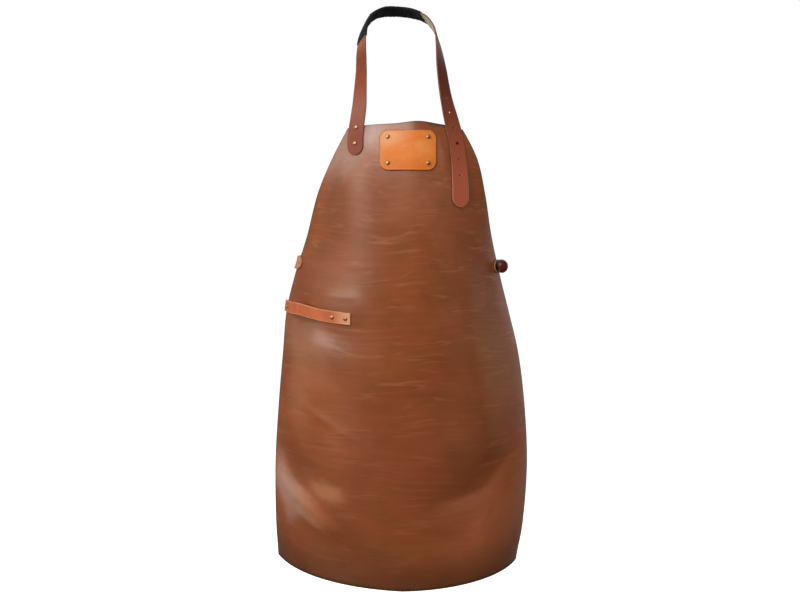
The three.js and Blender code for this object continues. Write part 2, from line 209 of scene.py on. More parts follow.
def flatPlace(wire):  # place on the flat cut piece, in metres
    return wire.node("ShaderNodeUVMap", {"uv_map": "flat"}, {})


def solidPlace(wire):  # place in the piece's own space, in metres
    return wire.node("ShaderNodeTexCoord", {}, {}, 3)


def fromEdge(wire):  # how far inside the cut edge, in metres, kept with the mesh's points
    return wire.node("ShaderNodeAttribute", {"attribute_name": "edgeway"}, {}, 2)


# Materials

plainGrain = {  # what a grain side has unless its own look says otherwise
    "edgeRubAndShade": 0.0025,  # width of the band along the cut edge that turns to the edge colour, in metres: a rubbed edge, which on the panel and patch also paints the shade along the edge
    "streak": 0.25,
    "streakScale": (14.0, 90.0, 1.0),
    "rough": 0.52,
    "coat": 0.05,
    "grainDepth": 0.00012,
}
grainLooks = {  # dyes are deep, body, pale and edge, all as screen colours
    "panelGrain": {
        "dyes": ((146, 75, 36), (162, 88, 42), (194, 126, 86), (56, 42, 26)),
        # the panel's wide edge band also paints the shade along the hem
        "edgeRubAndShade": 0.0085, "cloudScale": 5.0, "streak": 0.28, "streakScale": (4.0, 68.0, 1.0),
        "rough": 0.40, "coat": 0.10,
        "stray": 0.05,  # how ragged the outlines of the tone spots and the painted light are, in metres
        "fibre": (7.0, 130.0, 0.12),  # fine streaks: scale along and across, how much
        "fade": (0.38, 0.62, 0.45),  # they fade from this level to that, and by how much
        "hem": (0.745, 0.836, 0.52),  # darker towards the hem from this level to that, and by how much
        # two dyes that come up in patches, and how much
        "mottle": ((166, 80, 50), (128, 78, 34), 0.40),
        # dull places: across, down in metres, slant in degrees, half length, half height, weight
        "dull": ((-0.205, 0.190, 78, 0.140, 0.070, 0.30), (-0.285, 0.560, 88, 0.180, 0.040, 0.30)),
        # cut edges left without that edge band, as above
        "bareEdge": ((-0.070, 0.0, 0, 0.190, 0.030, 0.9), (-0.313, 0.055, 90, 0.080, 0.020, 0.7)),
        # rubbed and shiny places, as above
        "polish": (
            (-0.112, 0.309, 6, 0.055, 0.026, 1.0),
            (-0.168, 0.388, 20, 0.090, 0.034, 1.0),
            (-0.204, 0.680, 38, 0.066, 0.030, 0.45),
            (-0.070, 0.040, -5, 0.220, 0.080, 0.52),
        ),
        # where the colour differs: tone that varies at random, and painted light, that is painted
        # sheen, highlights and reflections where the lamps show in the leather, and painted shade on
        # flanks and in folds; as above, with the colour it leans to before the weight
        "toneAndPaintedLight": (
            # painted shade on the bib's left flank
            (-0.205, 0.165, 78, 0.090, 0.055, (104, 56, 24), 0.28),
            # painted sheen on the bib's top left, in this row and the next
            (-0.268, 0.042, 10, 0.125, 0.060, (194, 164, 154), 0.58),
            (-0.160, 0.010, 5, 0.085, 0.034, (188, 170, 166), 0.38),
            # painted sheen down the bib's left side
            (-0.130, 0.130, 72, 0.085, 0.045, (188, 144, 118), 0.10),
            # painted shade along the bib's left edge
            (-0.245, 0.115, 70, 0.055, 0.035, (110, 64, 36), 0.30),
            (0.140, 0.050, 90, 0.040, 0.025, (192, 132, 102), 0.30),
            (-0.225, 0.480, 80, 0.095, 0.045, (206, 138, 98), 0.30),
            (-0.105, 0.572, 10, 0.060, 0.040, (196, 112, 70), 0.25),
            (0.200, 0.545, 80, 0.055, 0.036, (188, 114, 78), 0.30),
            (0.108, 0.685, -20, 0.065, 0.032, (190, 110, 68), 0.26),
            # painted sheen below and above the towel strap, in this row and the next
            (-0.225, 0.395, 25, 0.110, 0.055, (206, 150, 118), 0.36),
            (-0.160, 0.270, 20, 0.110, 0.060, (190, 128, 92), 0.25),
            # painted sheen on the middle of the bib
            (0.035, 0.110, 0, 0.110, 0.090, (186, 130, 100), 0.25),
            # painted reflection along the right edge
            (0.205, 0.395, 86, 0.190, 0.052, (160, 122, 92), 0.42),
            # painted light below the lower right fold
            (0.175, 0.750, -30, 0.120, 0.075, (200, 114, 74), 0.54),
            # painted sheen and light at the lower left, in this row and the next three
            (-0.264, 0.676, 52, 0.080, 0.046, (226, 180, 164), 0.64),
            (-0.206, 0.690, 33, 0.058, 0.030, (228, 180, 156), 0.60),
            (-0.166, 0.708, 25, 0.055, 0.030, (226, 138, 94), 0.42),
            (-0.139, 0.664, 12, 0.044, 0.022, (218, 148, 106), 0.50),
            # painted shade above that sheen
            (-0.215, 0.610, 30, 0.080, 0.030, (112, 58, 26), 0.35),
            # painted shade in the lower right fold
            (0.140, 0.585, -28, 0.150, 0.055, (84, 52, 22), 0.24),
            # a redder tone in the middle
            (0.005, 0.600, 10, 0.120, 0.130, (142, 66, 44), 0.25),
            (-0.140, 0.490, 10, 0.070, 0.080, (196, 108, 62), 0.30),
            (-0.110, 0.760, 5, 0.140, 0.050, (112, 58, 26), 0.30),
        ),
    },
    "strapGrain": {
        "dyes": ((136, 60, 34), (156, 71, 40), (182, 102, 70), (76, 38, 24)),
        "edgeRubAndShade": 0.0022, "cloudScale": 12.0, "coat": 0.04,
        # colour that changes along the strap, mostly painted shade and light for how its runs face
        # the lamps: from, to in metres, to what colour, how much
        "dyeAndPaintedLight": (
            (0.18, 0.226, (194, 134, 106), 0.45),
            (0.25, 0.30, (156, 71, 40), 0.8),
            # painted shade on the upper right run, which turns away from the lamps
            (0.36, 0.43, (92, 33, 16), 0.85),
            # paler towards and down the tail: painted light where it faces the lamps
            (0.55, 0.77, (192, 97, 62), 0.78),
        ),
        # painted sheen on the left run just above the bib
        "toneAndPaintedLight": ((0.085, 0.0, 0, 0.042, 0.060, (190, 132, 112), 0.34),),
        "dull": ((0.572, 0.0, 0, 0.048, 0.060, 0.40),),
    },
    "waistGrain": {
        "dyes": ((126, 68, 40), (148, 84, 52), (178, 116, 82), (110, 64, 42)),
        "cloudScale": 14.0, "coat": 0.04,
        # painted light on the left end and painted shade on the right end by the knob
        "dyeAndPaintedLight": ((0.09, 0.02, (220, 156, 112), 0.9), (0.54, 0.60, (66, 42, 22), 0.85)),
    },
    "towelGrain": {
        "dyes": ((200, 100, 56), (222, 114, 64), (240, 160, 116), (236, 166, 124)),
        "cloudScale": 22.0, "streak": 0.3, "streakScale": (16.0, 90.0, 1.0),
        "rough": 0.50, "grainDepth": 0.00014,
        "dyeAndPaintedLight": ((0.045, 0.0, (255, 190, 146), 0.85),),
    },
    "patchGrain": {
        "dyes": ((236, 124, 34), (248, 142, 44), (255, 182, 96), (206, 128, 62)),
        # the patch's edge band also paints the shade along its rounded border
        "edgeRubAndShade": 0.0035, "cloudScale": 20.0, "streak": 0.2, "streakScale": (14.0, 60.0, 1.0),
        "grainDepth": 0.00014,
        "mottle": ((240, 122, 34), (255, 184, 104), 0.40),
        "toneAndPaintedLight": (
            # painted highlight on the top left
            (-0.032, 0.022, 20, 0.034, 0.018, (255, 204, 158), 0.42),
            # painted light on the right part, which turns away from the lamps
            (0.030, 0.004, 60, 0.030, 0.018, (255, 164, 84), 0.40),
            # painted shade along the bottom border
            (0.004, -0.024, 0, 0.050, 0.012, (226, 106, 24), 0.40),
        ),
    },
    "knobGrain": {
        "dyes": ((76, 18, 10), (108, 26, 14), (134, 48, 30), (48, 14, 8)),
        "edgeRubAndShade": 0.0030, "cloudScale": 60.0, "streak": 0.2, "streakScale": (60.0, 120.0, 1.0),
        "rough": 0.30, "coat": 0.25, "grainDepth": 0.0001,
    },
}
grainLayers = {  # how the layers of every grain side are made and how much each counts
    "blotchFiner": 3.1,  # than the clouds of dye
    "blotchPale": 0.10,
    "wander": ((3.0, 1.0, 0.05), (11.0, 2.0, 0.010)),  # streaks wind: scale, detail, reach in metres
    "creaseAt": 0.5, "creaseThin": 24.0, "creasePale": 0.7,  # thin lines along the stretch
    "furrowAt": 0.55, "furrowThin": 26.0, "furrowDark": 0.35,  # and the dark side of each
    "hazePale": 0.35,
    "wornPull": 1.7,
    "spotSpread": (0.8, 0.6),  # spots come and go with the blotches: by how much, and the least
    "edgeDark": 0.85,
    "roughSpread": 0.10,
    "pebbles": 760.0, "pebbleHigh": 0.55, "pores": 1500.0, "poreHigh": 0.45,
    "streakHigh": 0.8, "bump": 0.35,
}


def grainMaterial(name):
    look, layers = {**plainGrain, **grainLooks[name]}, grainLayers
    material, wire, feed = newMaterial(name, {"IOR": 1.5, "Coat Roughness": 0.28})
    deep, body, pale, edge = (rgb(*dyeAndPaintedLight) for dyeAndPaintedLight in look["dyes"])
    flat = flatPlace(wire)
    cloud = flat.noise(look["cloudScale"], detail=4.0, rough=0.55, warp=0.4)
    blotch = flat.noise(look["cloudScale"] * layers["blotchFiner"], detail=3.0, rough=0.6)
    wide, fine = (
        (flat.noise(scale, detail) - 0.5) * reach for scale, detail, reach in layers["wander"]
    )
    drifted = flat.vector("ADD", wire.node("ShaderNodeCombineXYZ", {}, {"Y": wide + fine}))
    run = drifted.stretch(*look["streakScale"])
    streak = run.noise(1.0, detail=1.5)
    crease = 1.0 - wire.maths("ABSOLUTE", streak - layers["creaseAt"]) * layers["creaseThin"]
    furrow = 1.0 - wire.maths("ABSOLUTE", streak - layers["furrowAt"]) * layers["furrowThin"]
    haze = run.noise(2.3).ramp(0.52, 0.80)
    broken = run.stretch(3.0, 0.5, 1.0).noise(1.0).ramp(0.42, 0.64)
    pull = crease.ramp(0.0, 1.0) * layers["creasePale"] + haze * layers["hazePale"]
    pull = pull * broken * look["streak"]
    colour = cloud.ramp(0.30, 0.70).tint(deep, body)
    colour = (blotch.ramp(0.52, 0.80) * layers["blotchPale"]).tint(colour, pale)
    if "mottle" in look:
        first, second, share = look["mottle"]
        patches = flat.stretch(1.0, 1.5, 1.0).noise(17.0, detail=4.0, rough=0.6, warp=0.5)
        colour = (patches.ramp(0.50, 0.68) * share).tint(colour, rgb(*first))
        colour = ((1.0 - patches.ramp(0.32, 0.50)) * share).tint(colour, rgb(*second))
    gain, least = layers["spotSpread"]
    spread = blotch * gain + least
    astray = flat.astray(look.get("stray", 0.0))
    for *oval, dyeAndPaintedLight, share in look.get("toneAndPaintedLight", ()):
        colour = (astray.spot(*oval) * spread * share).tint(colour, rgb(*dyeAndPaintedLight))
    along, level = flat.axis(0), flat.axis(1)
    if "fade" in look:
        start, end, share = look["fade"]
        worn = 1.0 - level.ramp(start, end) * share
        tight, close, share = look["fibre"]
        fibre = drifted.stretch(tight, close, 1.0).noise(1.0, detail=3.0, rough=0.6)
        colour = (fibre.ramp(0.50, 0.75) * worn * share).tint(colour, pale)
        colour = ((1.0 - fibre.ramp(0.25, 0.48)) * worn * share).tint(colour, edge)
        pull, furrow = pull * worn * layers["wornPull"], furrow * worn
    dark = furrow.ramp(0.0, 1.0) * broken * look["streak"] * layers["furrowDark"]
    colour = pull.tint(dark.tint(colour, edge), pale)
    if "hem" in look:
        start, end, share = look["hem"]
        colour = (level.ramp(start, end) * share).tint(colour, edge)
    for start, end, dyeAndPaintedLight, share in look.get("dyeAndPaintedLight", ()):
        colour = (along.ramp(start, end) * share).tint(colour, rgb(*dyeAndPaintedLight))
    inside = fromEdge(wire).ramp(0.0, look["edgeRubAndShade"])  # near the cut edges the colour turns to the edge colour: rubbed edges, and painted shade along the panel's hem and the patch's border
    for *oval, share in look.get("bareEdge", ()):
        inside = inside + flat.spot(*oval) * share
    inside = inside * layers["edgeDark"] + (1.0 - layers["edgeDark"])
    feed("Base Color", inside.tint(edge, colour))
    vary = layers["roughSpread"]
    rough = cloud * vary + streak * vary + (look["rough"] - vary)
    for *oval, share in look.get("dull", ()):
        rough = rough + flat.spot(*oval) * share
    feed("Roughness", rough)
    shine = cloud * look["coat"]
    for *oval, share in look.get("polish", ()):
        shine = shine + flat.spot(*oval) * spread * share
    feed("Coat Weight", shine)
    pebble = flat.cells(layers["pebbles"]) * layers["pebbleHigh"]
    pores = flat.noise(layers["pores"]) * layers["poreHigh"]
    relief = pebble + pores + streak * layers["streakHigh"]
    feed("Normal", relief.bump(layers["bump"], look["grainDepth"]))
    return material


fibreLooks = {
    # fine and wide noise, share of each, range of the mix, roughness (spread, least), bump
    "flesh": {
        "constants": {"Sheen Weight": 0.25, "Sheen Roughness": 0.5},
        "stretch": (1.0, 2.2, 1.0), "fine": (420.0, 4.0, 0.7, 1.2), "wide": (14.0, 3.0, 0.6),
        "mix": (0.7, 0.3), "range": (0.25, 0.75), "rough": (0.12, 0.82), "bump": (0.6, 0.0005),
    },
    "cut": {
        "constants": {"IOR": 1.48},
        "stretch": (1.0, 1.0, 1.0), "fine": (900.0, 3.0, 0.65), "wide": (90.0, 2.0),
        "mix": (0.6, 0.4), "range": (0.3, 0.7), "rough": (0.2, 0.5), "bump": (0.4, 0.0002),
    },
    "fleece": {
        "constants": {
            "Sheen Weight": 0.35, "Sheen Roughness": 0.4, "Sheen Tint": rgb(90, 104, 120),
        },
        "stretch": (1.0, 1.0, 1.0), "fine": (480.0, 4.0, 0.65, 0.8), "wide": (45.0, 3.0, 0.6),
        "mix": (0.6, 0.4), "range": (0.32, 0.72), "rough": (0.1, 0.85), "bump": (0.7, 0.0009),
    },
}


def fibreMaterial(name, kind, deep, pale, paintedHighlight=None):
    look = fibreLooks[kind]
    material, wire, feed = newMaterial(name, look["constants"])
    place = flatPlace(wire) if kind == "flesh" else solidPlace(wire)
    fine = place.stretch(*look["stretch"]).noise(*look["fine"])
    fineShare, wideShare = look["mix"]
    shade = fine * fineShare + place.noise(*look["wide"]) * wideShare
    colour = shade.ramp(*look["range"]).tint(deep, pale)
    if paintedHighlight:  # painted highlight: paler from one height down to another
        start, end, share, litColour = paintedHighlight
        colour = ((1.0 - place.axis(2).ramp(end, start)) * share).tint(colour, litColour)
    feed("Base Color", colour)
    vary, least = look["rough"]
    feed("Roughness", fine * vary + least)
    feed("Normal", fine.bump(*look["bump"]))
    return material


metal = {
    "tarnish": (520.0, 3.0, 0.6), "range": (0.35, 0.68),
    "scuffs": 900.0, "stretch": (1.0, 1.0, 6.0), "rough": (0.16, 0.40), "bump": (0.15, 0.0001),
}


def metalMaterial(name, deep, bright):
    material, wire, feed = newMaterial(name, {"Metallic": 1.0})
    place = solidPlace(wire)
    tarnish = place.noise(*metal["tarnish"]).ramp(*metal["range"])
    scuffs = place.stretch(*metal["stretch"]).noise(metal["scuffs"])
    feed("Base Color", tarnish.tint(deep, bright))
    vary, least = metal["rough"]
    feed("Roughness", scuffs * vary + least)
    feed("Normal", scuffs.bump(*metal["bump"]))
    return material


def floorMaterial():
    glow = {"Emission Strength": studio["floorGlow"], "Emission Color": white}
    material, wire, feed = newMaterial("paleFloor", {"Roughness": 0.9, **glow})
    dark, light = ((grey, grey, grey, 1.0) for grey in studio["floorGreys"])
    feed("Base Color", solidPlace(wire).noise(1.5).tint(dark, light))
    return material


def makeWorld():
    world = bpy.data.worlds.new("studioWorld")
    world.use_nodes = True
    wire = Wire(world.node_tree)
    direction = wire.node("ShaderNodeTexCoord", {}, {}, 0)
    right, behind, height = (direction.axis(k) for k in range(3))
    sky, ground = studio["skyLight"], studio["groundLight"]
    light = height.ramp(*studio["skyRise"]) * (sky - ground) + ground
    light = light * (1.0 - right.ramp(*studio["shadeRise"]) * studio["rightShade"])
    wallRight, wallBehind, wallUp = studio["wallRise"]
    wall = behind.ramp(*wallBehind) * right.ramp(*wallRight) * height.ramp(*wallUp)
    light = light + wall * studio["wallLight"]
    seen = wire.node("ShaderNodeLightPath", {}, {}, 0)
    strength = seen * studio["backdrop"] + (1.0 - seen) * light
    background = world.node_tree.nodes["Background"]
    background.inputs["Color"].default_value = white
    world.node_tree.links.new(strength.socket, background.inputs["Strength"])
    bpy.context.scene.world = world


def makeFloor():
    half = studio["floorHalf"]
    height = toFrame((0, 0, -studio["floorBelow"]))[2]
    data = bpy.data.meshes.new("floor")
    corners = [(x * half, y * half, height) for x, y in ((-1, -1), (1, -1), (1, 1), (-1, 1))]
    data.from_pydata(corners, [], [(0, 1, 2, 3)])
    data.materials.append(floorMaterial())
    floor = bpy.data.objects.new("floor", data)
    floor.visible_diffuse = False  # the floor doesn't light the leather from below
    floor.visible_glossy = False
    bpy.context.collection.objects.link(floor)


bpy.context.scene.view_settings.view_transform = "Standard"
bpy.context.scene.view_settings.look = "None"
makeCamera()
makeLamps()
makeWorld()
makeFloor()
print("camera, lamps and floor set")

grain = {name: grainMaterial(name) for name in grainLooks}
flesh = {
    "panel": fibreMaterial("panelFlesh", "flesh", rgb(112, 70, 44), rgb(150, 102, 70)),
    "strap": fibreMaterial("strapFlesh", "flesh", rgb(200, 184, 160), rgb(238, 224, 202)),
}
paintedTipHighlight = (-0.24, -0.33, 0.75, rgb(216, 164, 134))  # painted highlight on the lit cut edges of the straps' lower parts: from this height down to that, how much, colour
cutEdge = {
    "panel": fibreMaterial("panelCut", "cut", rgb(52, 30, 20), rgb(84, 50, 32)),
    "strap": fibreMaterial("strapCut", "cut", rgb(112, 56, 40), rgb(168, 104, 78), paintedTipHighlight),
    "towel": fibreMaterial("towelCut", "cut", rgb(206, 132, 92), rgb(236, 176, 138)),
    "patch": fibreMaterial("patchCut", "cut", rgb(150, 78, 34), rgb(214, 130, 66)),
    "knob": fibreMaterial("knobCut", "cut", rgb(120, 74, 50), rgb(164, 110, 78)),
}
fleece = fibreMaterial("padFleece", "fleece", rgb(9, 11, 14), rgb(30, 35, 42))
brass = metalMaterial("agedBrass", rgb(200, 146, 100), rgb(240, 196, 150))
# the stud's dark bronze also stands in for the shade of the strap hole it sits in
bronzeAndHoleShade = metalMaterial("darkBronzeAndHoleShade", rgb(72, 40, 26), rgb(120, 74, 48))
print("materials made")


# Curves through tables

def tableCurve(rows):  # smooth curve through the rows, whose first column is the place
    table = np.array(rows, float)
    places, values = table[:, 0], table[:, 1:]
    last = len(places) - 2

    def at(where):
        where = np.asarray(where, float)
        i = np.clip(np.searchsorted(places, where, "right") - 1, 0, last)
        start, end = places[i], places[i + 1]
        before = np.where(i > 0, i - 1, i + 1)
        after = np.where(i < last, i + 2, i)
        wideBefore = start - np.where(i > 0, places[before], 2 * start - end)
        wideAfter = np.where(i < last, places[after], 2 * end - start) - end
        wb, wa = 0.5 * (end - start) / wideBefore, 0.5 * (end - start) / wideAfter
        p = (where - start) / (end - start)
        weights = (
            -wb * p**3 + 2 * wb * p**2 - wb * p,
            (1 + wb) * p**3 + (-1.5 - 2 * wb) * p**2 + (wb - 0.5) * p + 1,
            (-1 - wa) * p**3 + (1.5 + wa) * p**2 + 0.5 * p,
            wa * p**3 - wa * p**2,
        )
        picks = (values[before], values[i], values[i + 1], values[after])
        return np.moveaxis(sum(w[..., None] * pick for w, pick in zip(weights, picks)), -1, 0)

    return at


# Panel surface, as the solids have it

panel = {
    "thick": 2.0,
    # below the top, front, left, right, leftBack, rightBack, wrap in degrees
    "sections": (
        (-20, 40, 82, 84, 20, 20, 42),
        (0, 34, 92, 98, 24, 24, 44),
        (60, 19, 124, 130.5, 42, 42, 50),
        (120, 9, 151, 146.5, 70, 68, 57),
        (200, 2, 175, 162, 112, 107, 63),
        (280, 0, 203, 182.5, 148, 141, 67),
        (340, 1, 219, 199, 164, 156, 69),
        (420, 2, 228, 219, 173, 164, 70),
        (520, 5, 238, 233, 177, 167, 71),
        (640, 9, 246.5, 240, 178, 167, 71),
        (760, 13, 247, 233, 177, 164, 70),
        (850, 16, 243, 220, 176, 162, 70),
    ),
    "topEdge": {"below": -2.0, "leftFall": 6.6, "rightFall": 9.3, "power": 3.2},
    "topPeak": {"turn": 0.24, "fall": 4.5, "spread": 0.26},
    "hem": {"below": 834.5, "leftRise": 8.0, "rightRise": 3.5, "power": 1.7},
    # soft folds: across, below, slant in degrees, half length, half width, rise
    "folds": (
        (26, 20, 90, 110, 26, 5),
        (-196, 668, -32, 85, 30, 6.5),
        (-165, 745, -30, 110, 36, -5),
        (180, 618, 42, 75, 28, -7),
        (105, 662, 10, 60, 24, -4),
        (185, 705, 48, 85, 36, 5),
        (-138, 412, -10, 70, 28, 3.5),
        (-104, 316, -8, 60, 30, 3),
    ),
    "foldFade": 6,
    "detailFade": 0.06,  # creases end this far inside the side edges, as a share of the turn
    "turnStep": 0.01,  # steps to both sides that give the normals
    "belowStep": 2.0,
    "cutHalf": 313.0,  # flat cut piece
    "cutLong": 834.0,
    "columns": 130,
    "rows": 330,
    "edgeRound": 0.7,
    # creases seen on the leather: across, below, slant in degrees, half length, half width, rise
    "creases": (
        (-150, 525, -26, 55, 9, 1.3),
        (-90, 556, -22, 40, 8, 0.8),
        (-186, 688, -30, 60, 12, 1.8),
        (-150, 610, -14, 46, 8, 0.5),
        (-135, 392, -12, 40, 18, 1.0),
        (-104, 306, -10, 34, 16, 1.0),
        (-104, 225, 0, 30, 12, 0.4),
        (186, 624, 44, 60, 9, -1.8),
        (112, 668, 14, 50, 8, -1.0),
        (150, 705, 62, 22, 5, 0.8),
        (110, 690, 14, 30, 5, 0.5),
    ),
    # fine creases and slow waves all over, drawn at random between these limits
    "seed": 11,
    "fine": {
        "count": 150, "across": (-240, 240), "below": (150, 810), "slant": 6,
        "reach": (16, 60), "width": (3.2, 6.0), "rise": (0.04, 0.15), "sunken": 0.3,
    },
    "waveCount": 12,
    # across, below, phase, rise
    "waves": ((-0.02, 0.02), (0.03, 0.11), (0, fullTurn), (0.05, 0.14)),
    # what lies on the panel keeps it calm: across, below, half width, half height
    "covered": (
        (8, 49, 52, 38),
        (-81, 30, 20, 36),
        (94, 75, 22, 90),
        (-172, 338, 82, 20),
        (-190, 250, 22, 20),
        (172, 257, 26, 20),
    ),
    "calmRoom": 14.0,
    "calmLeast": 0.12,
}
sectionAt = tableCurve(panel["sections"])


def ridges(rows, across, below):  # sum of soft ridges
    total = np.zeros(np.broadcast(across, below).shape)
    for x, z, slant, reach, width, rise in rows:
        slant = math.radians(slant)
        dx, dz = across - x, z - below
        along = (dx * math.cos(slant) + dz * math.sin(slant)) / reach
        aside = (dz * math.cos(slant) - dx * math.sin(slant)) / width
        total += rise * np.exp(-along * along - aside * aside)
    return total


def panelPoint(turn, below, extra=None):
    front, left, right, leftBack, rightBack, wrap = sectionAt(below)
    wide = np.where(turn < 0, left, right)
    back = np.where(turn < 0, leftBack, rightBack)
    wrap = np.radians(wrap)
    angle = np.abs(turn) * wrap
    across = np.sign(turn) * wide * np.sin(angle) / np.sin(wrap)
    depth = front + back * (1 - np.cos(angle)) / (1 - np.cos(wrap))
    rise = ridges(panel["folds"], across, below) * (1 - np.abs(turn) ** panel["foldFade"])
    if extra is not None:
        inside = np.clip((1 - np.abs(turn)) / panel["detailFade"], 0, 1)
        rise = rise + extra(across, below) * inside
    x = across + np.sign(turn) * np.sin(angle) * rise
    return np.stack((x, depth - np.cos(angle) * rise, -below + 0 * x), -1)


def unit(vectors):
    return vectors / np.linalg.norm(vectors, axis=-1, keepdims=True)


def offPanel(turn, below, lift, extra=None):  # points at a height off the panel, and their normals
    turn, below = np.broadcast_arrays(np.asarray(turn, float), np.asarray(below, float))
    aside, under = panel["turnStep"], panel["belowStep"]
    side = panelPoint(turn + aside, below, extra) - panelPoint(turn - aside, below, extra)
    down = panelPoint(turn, below + under, extra) - panelPoint(turn, below - under, extra)
    normal = unit(np.cross(down, side))
    return panelPoint(turn, below, extra) + normal * np.asarray(lift, float)[..., None], normal


def turnAt(across, below):
    _, left, right, _, _, wrap = sectionAt(below)
    wrap = np.radians(wrap)
    return np.arcsin(across / np.where(across < 0, left, right) * np.sin(wrap)) / wrap


def topBelow(turn):
    top, peak = panel["topEdge"], panel["topPeak"]
    beside = turn - peak["turn"]
    fall = np.where(beside < 0, top["leftFall"], top["rightFall"])
    share = np.abs(beside) / np.where(beside < 0, 1 + peak["turn"], 1 - peak["turn"])
    offPeak = peak["fall"] * (1 - np.exp(-((beside / peak["spread"]) ** 2)))
    return top["below"] + offPeak + fall * share ** top["power"]


def hemBelow(turn):
    hem = panel["hem"]
    rise = np.where(turn < 0, hem["leftRise"], hem["rightRise"])
    return hem["below"] - rise * (1 - (1 - np.abs(turn)) ** hem["power"])


# Meshes

meshing = {
    "farInside": 20.0,  # from the cut edge, for pieces that get no edge band
    "rimSteps": 3,
    "guardGap": 0.6,  # a second row of points lies this far inside the border
    "gridRoom": 0.45,  # share of a step that the inner points keep off it
    "weld": 1e-7,
}


def makePiece(name, node, points, faces, kinds, materials, flat, edgeway=None):
    data = bpy.data.meshes.new(name)
    data.from_pydata([tuple(p) for p in toFrame(points)], [], [tuple(map(int, f)) for f in faces])
    for material in materials:
        data.materials.append(material)
    data.polygons.foreach_set("material_index", np.asarray(kinds, np.int32))
    data.polygons.foreach_set("use_smooth", np.ones(len(data.polygons), bool))
    corners = np.empty(len(data.loops), np.int32)
    data.loops.foreach_get("vertex_index", corners)
    layer = data.uv_layers.new(name="flat")
    layer.data.foreach_set("uv", (np.asarray(flat, np.float32) * mm)[corners].ravel())
    inside = np.full(len(points), meshing["farInside"]) if edgeway is None else np.asarray(edgeway)
    marks = data.attributes.new("edgeway", "FLOAT", "POINT")
    marks.data.foreach_set("value", inside.astype(np.float32) * mm)
    data.validate()
    piece = bpy.data.objects.new(name, data)
    bpy.context.collection.objects.link(piece)
    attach(piece, "root")
    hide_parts(node)
    return piece


def rimProfile(thick, roundness):  # outset and height from the top face's border to the bottom's
    edge, steps = thick / 2 - roundness, meshing["rimSteps"]
    arc = [math.radians(90 * i / steps) for i in range(steps + 1)]
    top = [(roundness * math.sin(a) - roundness, edge + roundness * math.cos(a)) for a in arc]
    return top + [(outset, -height) for outset, height in reversed(top)]


def outsetLoop(loop, distance):  # a closed outline moved outwards, its material on the left
    before, after = np.roll(loop, 1, 0), np.roll(loop, -1, 0)
    first, second = unit(loop - before), unit(after - loop)
    out = unit(np.stack((first[:, 1] + second[:, 1], -first[:, 0] - second[:, 0]), -1))
    return loop + out * distance


def bendPiece(name, node, outline, holes, place, thick, roundness, step, materials):
    # cuts a flat piece of leather, rounds its edges and bends it
    loops = [np.asarray(loop, float) for loop in (outline, *holes)]
    border = [outsetLoop(loop, -roundness) for loop in loops]
    guard = [outsetLoop(loop, -roundness - meshing["guardGap"]) for loop in loops]
    low, high = border[0].min(0), border[0].max(0)
    lines = [np.arange(a + step / 2, b, step) for a, b in zip(low, high)]
    grid = np.stack(np.meshgrid(*lines), -1).reshape(-1, 2)
    grid = grid[[clearOf(p, guard, step * meshing["gridRoom"]) for p in grid]]
    flat = np.vstack(border + guard + [grid])
    starts = np.cumsum([0] + [len(loop) for loop in border])
    owner = np.full(len(flat), -1)
    edges = []
    for k, (start, end) in enumerate(zip(starts, starts[1:])):
        owner[start:end] = k
        edges += [(start + i, start + (i + 1) % (end - start)) for i in range(end - start)]
    flatPoints = [Vector(p) for p in flat]
    _, _, faces, origin, _, _ = delaunay_2d_cdt(flatPoints, edges, [], 1, meshing["weld"])
    faces = [[origin[v][0] for v in f] for f in faces]
    faces = [f for f in faces if not (owner[f[0]] > 0 and len({owner[v] for v in f}) == 1)]
    count = len(flat)
    allFlat = [flat, flat]
    heights = [np.full(count, thick / 2), np.full(count, -thick / 2)]
    ways = [np.array([edgeDistance(p, loops) for p in flat])] * 2
    allFaces = faces + [[v + count for v in reversed(f)] for f in faces]
    kinds = [0] * len(faces) + [1] * len(faces)
    profile = rimProfile(thick, roundness)
    made = 2 * count
    for k, loop in enumerate(loops):
        size = len(loop)
        rings = [np.arange(size) + starts[k]]
        for outset, height in profile[1:-1]:
            allFlat.append(outsetLoop(loop, outset))
            heights.append(np.full(size, height))
            ways.append(np.zeros(size))
            rings.append(np.arange(size) + made)
            made += size
        rings.append(rings[0] + count)
        for upper, lower in zip(rings, rings[1:]):
            for i in range(size):
                j = (i + 1) % size
                allFaces.append([upper[j], upper[i], lower[i], lower[j]])
                kinds.append(2)
    allFlat, heights = np.vstack(allFlat), np.concatenate(heights)
    points = place(allFlat[:, 0], allFlat[:, 1], heights)
    ways = np.concatenate(ways)
    makePiece(name, node, points, allFaces, kinds, materials, allFlat, ways)


def edgeDistance(point, loops):
    best = 1e9
    for loop in loops:
        ends = np.roll(loop, -1, 0)
        run = ends - loop
        t = np.clip(((point - loop) * run).sum(1) / (run * run).sum(1), 0, 1)
        best = min(best, np.linalg.norm(loop + run * t[:, None] - point, axis=1).min())
    return best


def insideLoop(point, loop):
    x, y = point
    a, b = loop, np.roll(loop, -1, 0)
    crossing = (a[:, 1] > y) != (b[:, 1] > y)
    with np.errstate(divide="ignore", invalid="ignore"):
        meets = a[:, 0] + (y - a[:, 1]) / (b[:, 1] - a[:, 1]) * (b[:, 0] - a[:, 0])
    return bool((crossing & (x < meets)).sum() % 2)


def clearOf(point, loops, room):  # inside the outline, outside the holes, with some room
    if not insideLoop(point, loops[0]) or any(insideLoop(point, loop) for loop in loops[1:]):
        return False
    return edgeDistance(point, loops) > room


def circleLoop(centre, radius, sides=20):  # a hole's outline, material on the left
    turns = -np.arange(sides) * 2 * math.pi / sides
    return np.stack((centre[0] + radius * np.cos(turns), centre[1] + radius * np.sin(turns)), -1)


# Panel

